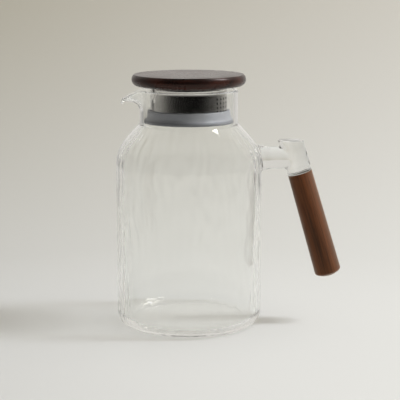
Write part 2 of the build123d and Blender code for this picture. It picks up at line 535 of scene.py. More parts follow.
@dataclass(frozen=True)
class ClearGlass(Finish):
    """Hand-worked clear glass that lets the lamps through to what stands behind it.

    Light that its surfaces have caught for good comes out again, as from the small flaws of real glass.
    """

    tint: Colour = (0.99, 0.995, 0.988, 1.0)
    shade: Colour = (0.965, 0.965, 0.96, 1.0)
    edge_shade: Colour = (0.66, 0.64, 0.61, 1.0)
    edge_narrowness: float = 4.0
    refraction: float = 1.47
    smudged: float = 0.02
    most_mirrorings: float = 9.5
    marks_per_metre: float = 30.0
    relief_depth: float = 0.1 * MM

    def material(self) -> bpy.types.Material:
        """Return the material."""
        material, wire, shader, place = self._start()
        smudge, unevenness = self._marks(wire, place)
        looks = {
            "Base Color": self.tint,
            "IOR": self.refraction,
            "Transmission Weight": 1.0,
            "Roughness": wire.ranged(smudge, 0.0, 1.0, 0.0, self.smudged),
            "Normal": self._bump(wire, unevenness),
        }
        wire.feed(shader, looks)
        path = wire.add("LightPath").outputs
        open_to_lamps = wire.sum("MAXIMUM", path["Is Shadow Ray"], path["Is Diffuse Ray"])
        caught = wire.sum("GREATER_THAN", path["Glossy Depth"], self.most_mirrorings)
        facing = wire.add("LayerWeight", {"Blend": 0.5}).outputs["Facing"]
        clear = wire.mixed(wire.sum("POWER", facing, self.edge_narrowness), self.shade, self.edge_shade)
        self._open(wire, shader, wire.sum("MAXIMUM", open_to_lamps, caught), clear)
        return material


@dataclass(frozen=True)
class PolishedSteel(Finish):
    """Stainless steel, polished or bright, with faint marks of the press and of handling, and painted shade
    inside: near black and rougher within a given radius.
    """

    bright: Colour = (0.66, 0.64, 0.61, 1.0)
    dull: Colour = (0.5, 0.49, 0.47, 1.0)
    polish: float = 0.04
    worn: float = 0.11
    lines: Vector = Vector((40.0, 40.0, 5200.0))
    line_roughness: float = 0.02
    # Painted shade: within the given radius the steel is near black and rougher, for the shade inside the
    # drum.
    inner_shade: Colour = (0.05, 0.048, 0.045, 1.0)
    inner_roughness: float = 0.3
    inner_shade_within: float = 0.0
    inner_shade_fade: float = 0.03 * MM
    relief: float = 0.12
    relief_depth: float = 0.02 * MM

    def material(self) -> bpy.types.Material:
        """Return the material."""
        material, wire, shader, place = self._start()
        smudge, _ = self._marks(wire, place)
        colour = wire.mixed(smudge, self.bright, self.dull)
        lines = wire.noise(place, self.lines)
        rough = wire.ranged(smudge, 0.0, 1.0, self.polish, self.worn)
        rough = wire.sum("MULTIPLY_ADD", lines, self.line_roughness, rough)
        # painted shade inside the drum
        if self.inner_shade_within > 0.0:
            away = wire.length(wire.vector_sum("MULTIPLY", place, Vector((1.0, 1.0, 0.0))))
            span = (self.inner_shade_within - self.inner_shade_fade, self.inner_shade_within + self.inner_shade_fade)
            inside = wire.ranged(away, *span, 1.0, 0.0)
            colour = wire.mixed(inside, colour, self.inner_shade)
            rough = wire.sum("MULTIPLY_ADD", inside, self.inner_roughness, rough)
        normal = self._bump(wire, lines)
        wire.feed(shader, {"Metallic": 1.0, "Base Color": colour, "Roughness": rough, "Normal": normal})
        return material


@dataclass(frozen=True)
class Silicone(Finish):
    """Milky silicone rubber with a satin skin, and painted shade below a given height."""

    milk: Colour = (0.315, 0.325, 0.36, 1.0)
    shade: Colour = (0.28, 0.29, 0.32, 1.0)
    skin: float = 0.42
    worn_skin: float = 0.56
    gloss: float = 0.5
    scatter: float = 0.35
    depth: float = 2.0 * MM
    # Painted shade: below a height the colour turns darker, for the shade under the seal's lip.
    lip_shade: Colour = (0.19, 0.195, 0.22, 1.0)
    lip_shade_below: float = 0.0
    lip_shade_fade: float = 0.4 * MM
    marks_per_metre: float = 80.0

    def material(self) -> bpy.types.Material:
        """Return the material."""
        material, wire, shader, place = self._start()
        smudge, unevenness = self._marks(wire, place)
        # painted shade below the given height, on the lip
        height = wire.add("SeparateXYZ", {0: place}).outputs["Z"]
        span = (self.lip_shade_below - self.lip_shade_fade, self.lip_shade_below + self.lip_shade_fade)
        thinned = wire.ranged(height, *span, 1.0, 0.0)
        looks = {
            "Base Color": wire.mixed(thinned, wire.mixed(smudge, self.milk, self.shade), self.lip_shade),
            "Roughness": wire.ranged(unevenness, *Effects.noise_span, self.skin, self.worn_skin),
            "Normal": self._bump(wire, unevenness),
            "Subsurface Weight": self.scatter,
            "Subsurface Radius": (1.0, 1.0, 1.0),
            "Subsurface Scale": self.depth,
            "Specular IOR Level": self.gloss,
        }
        wire.feed(shader, looks)
        return material


# The jug's parts


@dataclass
class WeldedArm:
    """The solid glass stub, elbow and peg that carry the grip."""

    stub_radius: float = 9.5 * MM
    stub_height: float = 145.9 * MM
    flare: float = 1.6 * MM
    flare_length: float = 5.0 * MM
    elbow_radius: float = 10.65 * MM
    elbow_top: float = 161.0 * MM
    top_rounding: float = 4.0 * MM
    foot_rounding: float = 0.6 * MM
    peg_radius: float = 6.0 * MM
    peg_length: float = 25.0 * MM
    seat: Vector = Vector((96.2 * MM, 0.0, 132.8 * MM))
    tilt: float = math.radians(16.4)
    stub_start: float = 57.0 * MM
    fitted_to: float = 75.0 * MM
    root_depth: float = 1.2 * MM
    cap_insets: tuple[float, ...] = (0.4 * MM, 1.4 * MM, 1.6 * MM)

    def down(self) -> Vector:
        """Return the grip's direction, away from the elbow."""
        return Vector((math.sin(self.tilt), 0.0, -math.cos(self.tilt)))

    def along_the_grip(self) -> Matrix:
        """Return the placing that lays a turned shape down the grip, with its foot on the grip's seat."""
        across = Vector((0.0, 1.0, 0.0))
        turn = Matrix((across, self.down().cross(across), self.down())).transposed()
        return Matrix.Translation(self.seat) @ turn.to_4x4()

    def from_grip_axis(self, point: Vector) -> float:
        """Return how far a point is from the elbow's axis."""
        return (point - self.seat).cross(self.down()).length

    def from_stub_axis(self, point: Vector) -> float:
        """Return how far a point is from the stub's axis."""
        return math.hypot(point.y, point.z - self.stub_height)

    def from_seam(self, point: Vector) -> float:
        """Return how far a point is from the seam of stub and elbow."""
        off_elbow = self.from_grip_axis(point) - self.elbow_radius
        return math.hypot(off_elbow, self.from_stub_axis(point) - self.stub_radius)

    def elbow(self) -> Shape:
        """Return the elbow with its peg, cut level and rounded at the top."""
        rise = (self.elbow_top - self.seat.z) / math.cos(self.tilt) + self.elbow_radius
        section = Section(
            (
                Corner(0.0, self.peg_length),
                Corner(self.peg_radius, self.peg_length, 1.5 * MM),
                Corner(self.peg_radius, 0.0, 0.4 * MM),
                Corner(self.elbow_radius, 0.0, self.foot_rounding),
                Corner(self.elbow_radius, -rise),
                Corner(0.0, -rise),
            ),
            step=1.2 * MM,
        )
        shape = turned(section, steps=56, placing=self.along_the_grip())
        cut = bmesh.ops.bisect_plane(
            shape,
            geom=shape.verts[:] + shape.edges[:] + shape.faces[:],
            dist=0.001 * MM,
            plane_co=(0.0, 0.0, self.elbow_top),
            plane_no=(0.0, 0.0, 1.0),
            clear_outer=True,
        )
        rim = [item for item in cut["geom_cut"] if isinstance(item, bmesh.types.BMEdge)]
        bmesh.ops.edgeloop_fill(shape, edges=rim)
        bmesh.ops.recalc_face_normals(shape, faces=shape.faces[:])
        bmesh.ops.bevel(
            shape,
            geom=rim,
            offset=self.top_rounding,
            offset_type="OFFSET",
            affect="EDGES",
            segments=8,
            profile=0.5,
            material=-1,
            clamp_overlap=True,
        )
        top = [face for face in shape.faces if face.calc_center_median().z > self.elbow_top - 0.1 * MM]
        cap = [face for face in top if len(face.verts) > 20]
        for width in self.cap_insets:
            bmesh.ops.inset_region(shape, faces=cap, thickness=width, use_even_offset=True)
        return shape

    def stub(self, wall: Callable[[float, float], float]) -> Shape:
        """Return the stub from inside the jug's wall to inside the elbow.

        Args:
            wall: the X of the jug's outside at a Y and Z.

        Returns:
            The closed stub.
        """
        length = self.seat.x - (self.stub_height - self.seat.z) * math.tan(self.tilt) - self.stub_start
        ends = (Corner(self.stub_radius, 0.0), Corner(self.stub_radius, length))
        section = Section((Corner(0.0, 0.0), *ends, Corner(0.0, length)), step=1.1 * MM)
        level = Matrix.Translation((self.stub_start, 0.0, self.stub_height))
        level @= Matrix.Rotation(math.radians(90.0), 4, "Y")
        shape = turned(section, steps=52, placing=level)
        for vert in shape.verts:
            outside = wall(vert.co.y, vert.co.z)
            root = outside - self.root_depth
            skin = self.from_stub_axis(vert.co) > 0.98 * self.stub_radius
            past = vert.co.x - self.stub_start
            if past < SAME:
                vert.co.x = root
                continue
            if vert.co.x < self.fitted_to:
                vert.co.x = root + (self.fitted_to - root) * past / (self.fitted_to - self.stub_start)
            if skin:
                faded = 1.0 - ease(vert.co.x, outside, outside + 2.0 * self.flare_length)
                wider = 1.0 + self.flare * faded / self.stub_radius
                vert.co.y *= wider
                vert.co.z = self.stub_height + (vert.co.z - self.stub_height) * wider
        return shape


@dataclass(frozen=True)
class Disorder:
    """A soft disorder round the wall: its hills round the jug, how tall they are, and where it is read."""

    around: float
    tall: float
    shift: Vector = Vector((0.0, 0.0, 0.0))

    def at(self, turn: float, height: float) -> float:
        """Return its value, from about -1 to 1."""
        way = Vector((math.cos(turn), math.sin(turn), 0.0))
        return noise.noise(way * self.around + Vector((0.0, 0.0, height / self.tall)) + self.shift)


@dataclass
class GlassJug:
    """The blown jug with its rippled walls, its pulled spout and its welded arm, all one piece of glass."""

    arm: WeldedArm
    body_radius: float = 63.0 * MM
    base_corner: float = 11.0 * MM
    shoulder_start: float = 140.3 * MM
    shoulder_radius: float = 33.5 * MM
    shoulder_slope: float = math.radians(39.0)
    crown_slope: float = math.radians(46.0)
    crown_radius: float = 147.0 * MM
    neck_foot: float = 175.8 * MM
    neck_radius: float = 42.2 * MM
    rim_height: float = 205.0 * MM
    rim_rounding: float = 1.3 * MM
    body_wall: float = 2.5 * MM
    neck_wall: float = 3.0 * MM
    floor: float = 4.5 * MM
    push_up: float = 1.0 * MM
    standing_ring: float = 47.0 * MM
    spout_projection: float = 16.4 * MM
    spout_drop: float = 10.4 * MM
    spout_half_width: float = 20.0 * MM
    spout_depth: float = 18.0 * MM
    spout_wall: float = 2.2 * MM
    spout_swell: float = 0.55
    spout_bend: float = 1.3
    flutes: int = 38
    flute_depth: float = 0.24 * MM
    flute_sway: float = 4.2
    flute_strength: float = 0.42
    strength_swing: float = 1.1
    least_strength: float = 0.05
    hammering: float = 0.8
    outer_share: float = 0.3
    outer_drop: float = 1.2
    coarse_sway: Disorder = Disorder(1.7, 48.0 * MM)
    fine_sway: Disorder = Disorder(4.1, 19.0 * MM)
    patches: Disorder = Disorder(2.6, 30.0 * MM, Vector((5.0, 0.0, 0.0)))
    hammer: Disorder = Disorder(7.0, 17.0 * MM, Vector((0.0, 9.0, 0.0)))
    inside_from: float = 1.4 * MM
    plain_middle: float = 43.0 * MM
    floor_fade: tuple[float, float] = (44.0 * MM, 56.0 * MM)
    floor_end: tuple[float, float] = (100.0 * MM, 110.0 * MM)
    neck_fade: tuple[float, float] = (162.0 * MM, 175.0 * MM)
    foot_fade: tuple[float, float] = (3.0 * MM, 16.0 * MM)
    steps: int = 300

    def _shoulder(self, depth: float) -> list[Corner]:
        """Return the side's and the shoulder's corners, which bend a little more towards the neck.

        Args:
            depth: how far they lie inside the outer surface.

        Returns:
            The corner over the side and the corner below the neck.
        """
        low, high = self.shoulder_slope, self.crown_slope
        side = Vector((self.body_radius, self.shoulder_start + self.shoulder_radius * math.tan(low / 2.0)))
        gap = self.neck_foot - side.y - (side.x - self.neck_radius) / math.tan(high)
        reach = gap / (math.cos(low) - math.sin(low) / math.tan(high))
        crown = side + reach * Vector((-math.sin(low), math.cos(low)))
        ways = [Vector((math.cos(slope), math.sin(slope))) for slope in (0.0, low, high)]
        side_inside = side - depth * (ways[0] + ways[1]) / (1.0 + ways[0].dot(ways[1]))
        crown_inside = crown - depth * (ways[1] + ways[2]) / (1.0 + ways[1].dot(ways[2]))
        return [
            Corner(side_inside.x, side_inside.y, self.shoulder_radius - depth),
            Corner(crown_inside.x, crown_inside.y, self.crown_radius - depth),
        ]

    def section(self) -> Section:
        """Return the wall's section, from the underside's middle over the rim to the floor's middle."""
        bore = self.neck_radius - self.neck_wall
        inner_side = self.body_radius - self.body_wall
        outer, inner = self._shoulder(0.0), self._shoulder(self.body_wall)
        throat = inner[1].height + (inner[1].radius - bore) / math.tan(self.crown_slope)
        return Section(
            (
                Corner(0.0, 0.0),
                Corner(self.body_radius, 0.0, self.base_corner),
                *outer,
                Corner(self.neck_radius, self.neck_foot, 2.0 * MM),
                Corner(self.neck_radius, self.rim_height, self.rim_rounding),
                Corner(bore, self.rim_height, self.rim_rounding),
                Corner(bore, throat, 3.0 * MM),
                inner[1],
                inner[0],
                Corner(inner_side, self.floor, self.base_corner - self.body_wall),
                Corner(0.0, self.floor),
            ),
            step=1.9 * MM,
            turn=math.radians(11.0),
        )

    def outside(self, height: float) -> float:
        """Return the radius of the plain outside at a height on the side or shoulder."""
        middle = self.body_radius - self.shoulder_radius
        bend = self.shoulder_radius * math.sin(self.shoulder_slope)
        rise = max(height - self.shoulder_start, 0.0)
        if rise <= bend:
            return middle + math.sqrt(self.shoulder_radius**2 - rise**2)
        end = middle + self.shoulder_radius * math.cos(self.shoulder_slope)
        return end - (rise - bend) * (end - self.neck_radius) / (self.neck_foot - self.shoulder_start - bend)

    def wall_at(self, y: float, z: float) -> float:
        """Return the X of the outside at a Y and Z on the grip's side."""
        return math.sqrt(max(self.outside(z) ** 2 - y * y, 0.0))

    def from_seam(self, point: Vector) -> float:
        """Return how far a point is from the seam of wall and arm."""
        if point.x <= self.plain_middle:
            return math.inf
        off_flare = self.arm.from_stub_axis(point) - self.arm.stub_radius - self.arm.flare
        return math.hypot(point.x - self.wall_at(point.y, point.z), off_flare)

    def _lip(self, arc: float, depth: float) -> Vector:
        """Return a point of the pulled outside of the neck.

        Args:
            arc: distance round the neck from the middle of the spout.
            depth: distance down from the rim.

        Returns:
            The point.
        """
        share = min(abs(arc) / self.spout_half_width, 1.0)
        down = min(max(depth, 0.0) / self.spout_depth, 1.0)
        pull = (1.0 - share**2) ** 2 * (1.0 - down) ** 2 * (1.0 + self.spout_swell * down)
        turn = arc / self.neck_radius
        x = -self.neck_radius * math.cos(turn) - self.spout_projection * pull
        y = self.neck_radius * math.sin(turn)
        return Vector((x, y, self.rim_height - depth - self.spout_drop * pull**self.spout_bend))

    def pull_spout(self, shape: Shape) -> None:
        """Pull the spout out of the rim's wall, with the wall carried along square to its outside."""
        tiny = 0.05 * MM
        for vert in shape.verts:
            x, y, z = vert.co
            radius = math.hypot(x, y)
            arc = math.atan2(y, -x) * self.neck_radius
            depth = self.rim_height - z
            aside = abs(arc) >= self.spout_half_width
            if aside or depth >= self.spout_depth or radius < 0.9 * self.neck_radius:
                continue
            inside = self.neck_radius - radius
            here = self._lip(arc, depth)
            along = self._lip(arc + tiny, depth) - self._lip(arc - tiny, depth)
            upwards = self._lip(arc, depth - tiny if depth > tiny else 0.0) - self._lip(arc, depth + tiny)
            inwards = upwards.cross(along).normalized()
            if inwards.dot(Vector((-x, -y, 0.0))) < 0.0 and inwards.z < 0.0:
                inwards.negate()
            pulled = (-here.x - self.neck_radius * math.cos(arc / self.neck_radius)) / self.spout_projection
            thinned = 1.0 + (self.spout_wall / self.neck_wall - 1.0) * pulled
            vert.co = here + inwards * (inside * thinned)

    def _wave(self, turn: float, height: float) -> float:
        """Return the flutes' wave.

        Args:
            turn: angle round the jug.
            height: height above the table.

        Returns:
            The wave, mostly from -1 to 1.
        """
        sway = self.coarse_sway.at(turn, height) + 0.5 * self.fine_sway.at(turn, height)
        strength = self.flute_strength + self.strength_swing * self.patches.at(turn, height)
        strength = max(min(strength, 1.0), self.least_strength)
        flutes = strength * math.cos(self.flutes * turn + self.flute_sway * sway)
        return flutes + self.hammering * self.hammer.at(turn, height)

    def ripple_walls(self, shape: Shape) -> None:
        """Give the wall its flutes: deep inside, faint outside, none at the neck and the underside."""
        for vert in shape.verts:
            x, y, z = vert.co
            radius = math.hypot(x, y)
            if radius < self.plain_middle or z > self.neck_fade[1]:
                continue
            move = self.flute_depth * self._wave(math.atan2(y, x), z)
            depth = self.outside(max(z, self.base_corner)) - radius
            if depth <= self.inside_from or z <= self.floor - 0.1 * MM:
                move = self.outer_share * (move - self.outer_drop * self.flute_depth)
                move *= ease(z, *self.foot_fade)
            move *= max(ease(radius, *self.floor_fade), ease(z, *self.floor_end))
            move *= 1.0 - ease(z, *self.neck_fade)
            vert.co.x += x / radius * move
            vert.co.y += y / radius * move

    def push_base_up(self, shape: Shape) -> None:
        """Raise the middle of the floor a little, so that the jug stands on a ring."""
        for vert in shape.verts:
            share = math.hypot(vert.co.x, vert.co.y) / self.standing_ring
            if share < 1.0 and vert.co.z < 2.0 * self.floor:
                vert.co.z += self.push_up * (1.0 - share**2) ** 2

    def build(self, glass: ClearGlass) -> Piece:
        """Blow the jug, weld its arm on and dress it.

        Args:
            glass: its finish.

        Returns:
            The finished piece.
        """
        jug = turned(self.section(), self.steps)
        self.push_base_up(jug)
        self.ripple_walls(jug)
        self.pull_spout(jug)
        arm = combined(self.arm.elbow(), self.arm.stub(self.wall_at), Joining.WELD)
        melted(arm, self.arm.from_seam, reach=4.5 * MM, rounds=14)
        jug = combined(jug, arm, Joining.WELD)
        bmesh.ops.dissolve_degenerate(jug, edges=jug.edges[:], dist=0.08 * MM)
        bmesh.ops.delete(jug, geom=[point for point in jug.verts if not point.link_faces], context="VERTS")
        melted(jug, self.from_seam, reach=3.6 * MM, rounds=10)
        bmesh.ops.triangulate(jug, faces=[face for face in jug.faces if len(face.verts) > 4])
        piece = finished(jug, "glass_jug", glass)
        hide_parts("jug_body", "handle_arm")
        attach(piece, "jug")
        return piece


@dataclass
class Grip:
    """The turned wooden grip on the arm's peg, with its hidden bush."""

    arm: WeldedArm
    length: float = 92.5 * MM
    foot_radius: float = 11.5 * MM
    foot_rounding: float = 2.5 * MM
    foot_setback: float = 0.9 * MM
    foot_crown: float = 2.5 * MM
    shoulder_rounding: float = 0.3 * MM
    bore_radius: float = 7.05 * MM
    bore_depth: float = 25.5 * MM
    seat_gap: float = 0.04 * MM

    def build(self, wood: Walnut) -> Piece:
        """Turn and bore the grip.

        Args:
            wood: its finish.

        Returns:
            The finished piece.
        """
        top = self.arm.elbow_radius
        section = Section(
            (
                Corner(0.0, self.bore_depth),
                Corner(self.bore_radius, self.bore_depth),
                Corner(self.bore_radius, self.seat_gap, 0.3 * MM),
                Corner(top - 0.05 * MM, self.seat_gap, self.shoulder_rounding),
                Corner(self.foot_radius, self.length - self.foot_setback, self.foot_rounding),
                Corner(0.5 * self.foot_radius, self.length + 0.8 * self.foot_crown, 12.0 * MM),
                Corner(0.0, self.length + self.foot_crown),
            ),
            step=3.0 * MM,
        )
        shape = turned(section, steps=96, placing=self.arm.along_the_grip())
        piece = finished(shape, "walnut_grip", wood)
        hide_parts("handle_grip")
        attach(piece, "jug")
        return piece

    def dress_bush(self, rubber: Silicone) -> Piece:
        """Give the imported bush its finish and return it."""
        return dressed(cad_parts["grip_bush"], rubber)


def dressed(piece: Piece, finish: Finish) -> Piece:
    """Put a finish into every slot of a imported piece.

    Args:
        piece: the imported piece.
        finish: its finish.

    Returns:
        The same piece.
    """
    material = finish.material()
    if not piece.material_slots:
        piece.data.materials.append(material)
    for slot in piece.material_slots:
        slot.material = material
    return piece


@dataclass
class StrainerLid:
    """The wooden disc, the steel drum under it and the screws that hold them together."""

    underside: float = 208.5 * MM
    thickness: float = 9.5 * MM
    radius: float = 49.0 * MM
    top_radius: float = 47.0 * MM
    underside_radius: float = 45.3 * MM
    bulge_share: float = 0.554
    edge_rounding: float = 0.45 * MM
    edge_flats: int = 14
    drum_top: float = 208.0 * MM
    drum_sheet: float = 0.8 * MM
    screw_circle: float = 18.0 * MM
    screw_length: float = 7.0 * MM
    screw_radius: float = 1.5 * MM
    head_radius: float = 3.0 * MM
    head_height: float = 1.6 * MM
    recess: Vector = Vector((3.2 * MM, 0.62 * MM, 2.0 * MM))
    recess_taper: Vector = Vector((0.45, 0.7, 1.0))
    flat_from: float = 0.2 * MM**2

    def _edge(self) -> list[Corner]:
        """Return the corners of the bulging edge, from the underside to the top, on one circle's arc."""
        low = Vector((self.underside_radius, self.underside))
        crest = Vector((self.radius, self.underside + self.thickness * self.bulge_share))
        high = Vector((self.top_radius, self.underside + self.thickness))
        a, b = crest - low, high - low
        turn = 2.0 * (a.x * b.y - a.y * b.x)
        across = a.length_squared * Vector((b.y, -b.x)) - b.length_squared * Vector((a.y, -a.x))
        centre = low + across / turn
        bend = (low - centre).length
        start = math.atan2(low.y - centre.y, low.x - centre.x)
        end = math.atan2(high.y - centre.y, high.x - centre.x)
        turns = [start + (end - start) * i / self.edge_flats for i in range(self.edge_flats + 1)]
        return [Corner(centre.x + bend * math.cos(turn), centre.y + bend * math.sin(turn)) for turn in turns]

    def build_disc(self, wood: Walnut) -> Piece:
        """Turn the disc.

        Args:
            wood: its finish.

        Returns:
            The finished piece.
        """
        edge = self._edge()
        edge[0] = Corner(edge[0].radius, edge[0].height, self.edge_rounding)
        edge[-1] = Corner(edge[-1].radius, edge[-1].height, self.edge_rounding)
        section = Section(
            (Corner(0.0, self.underside), *edge, Corner(0.0, self.underside + self.thickness)),
            step=3.0 * MM,
            turn=math.radians(15.0),
        )
        piece = finished(turned(section, steps=180), "walnut_lid", wood)
        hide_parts("lid_disc")
        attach(piece, "lid")
        return piece

    def dress_drum(self, steel: PolishedSteel) -> Piece:
        """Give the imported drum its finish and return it."""
        return dressed(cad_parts["lid_drum"], steel)

    def _screw(self) -> Shape:
        """Return one pan-head screw with a cross recess, standing on the lid's axis."""
        seat = self.drum_top - self.drum_sheet
        bottom = seat - self.head_height
        section = Section(
            (
                Corner(0.0, bottom),
                Corner(self.head_radius, bottom, 1.1 * MM),
                Corner(self.head_radius, seat, 0.1 * MM),
                Corner(self.screw_radius, seat),
                Corner(self.screw_radius, seat + self.screw_length - 0.8 * MM),
                Corner(0.3 * MM, seat + self.screw_length),
                Corner(0.0, seat + self.screw_length),
            ),
            step=1.2 * MM,
            turn=math.radians(18.0),
        )
        head = turned(section, steps=28)
        for turn in (0.0, 90.0):
            slot = bmesh.new()
            bmesh.ops.create_cube(slot, size=1.0)
            bmesh.ops.scale(slot, vec=self.recess, verts=slot.verts[:])
            deep = [vert for vert in slot.verts if vert.co.z > 0.0]
            bmesh.ops.scale(slot, vec=self.recess_taper, verts=deep)
            bmesh.ops.rotate(slot, matrix=Matrix.Rotation(math.radians(turn), 3, "Z"), verts=slot.verts[:])
            bmesh.ops.translate(slot, vec=(0.0, 0.0, bottom), verts=slot.verts[:])
            head = combined(head, slot, Joining.CUT)
        return head

    def build_screws(self, steel: PolishedSteel) -> Piece:
        """Place the three screws.

        Args:
            steel: their finish.

        Returns:
            One piece that holds all three.
        """
        screws = bmesh.new()
        for turn in (0.0, 120.0, 240.0):
            one = self._screw()
            round_lid = Matrix.Rotation(math.radians(turn), 4, "Z")
            driven = Matrix.Rotation(math.radians(17.0 + turn / 5.0), 4, "Z")
            place = round_lid @ Matrix.Translation((self.screw_circle, 0.0, 0.0)) @ driven
            bmesh.ops.transform(one, matrix=place, verts=one.verts[:])
            mesh = bpy.data.meshes.new("one_screw")
            one.to_mesh(mesh)
            one.free()
            screws.from_mesh(mesh)
            bpy.data.meshes.remove(mesh)
        piece = finished(screws, "pan_screws", steel)
        for face in piece.data.polygons:
            face.use_smooth = face.area < self.flat_from and len(face.vertices) < 5
        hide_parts("lid_screws")
        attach(piece, "lid")
        return piece


@dataclass
class Seal:
    """The silicone ring round the drum's foot: a cuff, and a lip that reaches for the neck."""

    bore: float = 33.08 * MM
    cuff: float = 35.3 * MM
    waist: float = 36.2 * MM
    lip: float = 38.5 * MM
    foot_bore: float = 32.25 * MM
    top: float = 187.8 * MM
    root: float = 181.52 * MM
    lip_top: float = 179.02 * MM
    foot: float = 177.02 * MM
    ledge: float = 178.42 * MM
    groove_top: float = 180.18 * MM
    groove: float = 33.98 * MM

    def build(self, rubber: Silicone) -> Piece:
        """Mould the ring.

        Args:
            rubber: its finish.

        Returns:
            The finished piece.
        """
        section = Section(
            (
                Corner(self.bore, self.top, 0.3 * MM),
                Corner(self.cuff, self.top, 1.2 * MM),
                Corner(self.waist, self.root, 3.0 * MM),
                Corner(self.lip, self.lip_top, 0.5 * MM),
                Corner(self.lip, self.foot, 0.7 * MM),
                Corner(self.foot_bore, self.foot, 0.4 * MM),
                Corner(self.foot_bore, self.ledge, 0.2 * MM),
                Corner(self.groove, self.ledge, 0.5 * MM),
                Corner(self.groove, self.groove_top, 0.5 * MM),
                Corner(self.bore, self.groove_top, 0.1 * MM),
            ),
            closed=True,
            step=1.4 * MM,
            turn=math.radians(18.0),
        )
        piece = finished(turned(section, steps=160), "silicone_seal", rubber)
        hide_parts("lid_seal")
        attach(piece, "seal")
        return piece


# The studio

EYE = Vector((9.6 * MM, -1095.3 * MM, 309.7 * MM))


@dataclass(frozen=True)
class Tabletop(Finish):
    """Pale paper on the table, with painted shade and a painted pool of light: even in front, darker behind
    and to the left, away from the light, and lighter in front of the jug.

    For what the jug mirrors and is lit by, it ends softly at the table's edge, and the room shows past that.
    Left and right are sideways shares of the way ahead, near and far are how steeply the eye looks down.
    """

    # Painted shade: the paper's colours darken behind and to the left, laid out from the eye's place.
    near_left: Colour = (0.64, 0.63, 0.603, 1.0)
    near_right: Colour = (0.785, 0.775, 0.745, 1.0)
    far_left: Colour = (0.435, 0.405, 0.335, 1.0)
    far_right: Colour = (0.63, 0.60, 0.54, 1.0)
    left_to_right: tuple[float, float] = (-0.16, 0.16)
    near_to_far: tuple[float, float] = (0.262, 0.03)
    least_reach: float = 0.35
    # Painted light: a soft pool of light on the paper in front of the jug.
    painted_light_pool: Vector = Vector((0.0, -0.1, 0.0))
    painted_light_fade: tuple[float, float] = (0.06, 0.4)
    painted_light_share: float = 0.26
    painted_light_colour: Colour = (0.95, 0.94, 0.92, 1.0)
    fibres: Vector = Vector((900.0, 900.0, 900.0))
    fibre_share: float = 0.015
    fibre_colour: Colour = (0.3, 0.3, 0.3, 1.0)
    roughness: float = 0.95
    gloss: float = 0.1
    edge: tuple[float, float] = (0.5, 0.85)

    def material(self) -> bpy.types.Material:
        """Return the material."""
        material, wire, shader, place = self._start()
        parts = wire.add("SeparateXYZ", {0: place}).outputs
        # painted shade, darker behind and to the left as seen from the eye
        reach = wire.sum("MAXIMUM", wire.sum("SUBTRACT", parts["Y"], EYE.y), self.least_reach)
        sideways = wire.sum("DIVIDE", wire.sum("SUBTRACT", parts["X"], EYE.x), reach)
        right = wire.ranged(sideways, *self.left_to_right)
        near = wire.mixed(right, self.near_left, self.near_right)
        far = wire.mixed(right, self.far_left, self.far_right)
        colour = wire.mixed(wire.ranged(wire.sum("DIVIDE", EYE.z, reach), *self.near_to_far), near, far)
        # painted pool of light in front of the jug
        aside = wire.length(wire.vector_sum("SUBTRACT", place, self.painted_light_pool))
        painted_light_pool = wire.ranged(aside, *self.painted_light_fade, self.painted_light_share, 0.0)
        colour = wire.mixed(painted_light_pool, colour, self.painted_light_colour)
        fibre = wire.ranged(wire.noise(place, self.fibres), *Effects.noise_span, 0.0, self.fibre_share)
        colour = wire.mixed(fibre, colour, self.fibre_colour)
        looks = {"Base Color": colour, "Roughness": self.roughness, "Specular IOR Level": self.gloss}
        wire.feed(shader, looks)
        past_edge = wire.ranged(wire.length(place), *self.edge)
        self._open(wire, shader, wire.sum("MULTIPLY", past_edge, wire.turned_back()), (1.0, 1.0, 1.0, 1.0))
        return material


@dataclass(frozen=True)
class Pane:
    """A bright pane, in degrees: the turn of its middle, half its width, and the rise of its foot and top."""

    middle: float
    half_width: float
    foot: float
    top: float
    side_fade: float = 1.5 / 360.0
    end_fade: float = 0.008

    def cut(self, wire: Wiring, turn: Socket, height: Socket) -> Socket:
        """Cut the pane out of the room.

        Args:
            wire: the world's wiring.
            turn: the turn from straight behind, over the left and the front, from 0 to 1.
            height: the way's height, from -1 to 1.

        Returns:
            1 inside the pane and 0 outside.
        """
        low, high = math.sin(math.radians(self.foot)), math.sin(math.radians(self.top))
        aside = wire.sum("ABSOLUTE", wire.sum("SUBTRACT", turn, (self.middle + 180.0) / 360.0))
        above = wire.sum("ABSOLUTE", wire.sum("SUBTRACT", height, (low + high) / 2.0))
        wide, tall = self.half_width / 360.0, (high - low) / 2.0
        across = wire.ranged(aside, wide, wide + self.side_fade, 1.0, 0.0)
        upright = wire.ranged(above, tall, tall + self.end_fade, 1.0, 0.0)
        return wire.sum("MULTIPLY", across, upright)


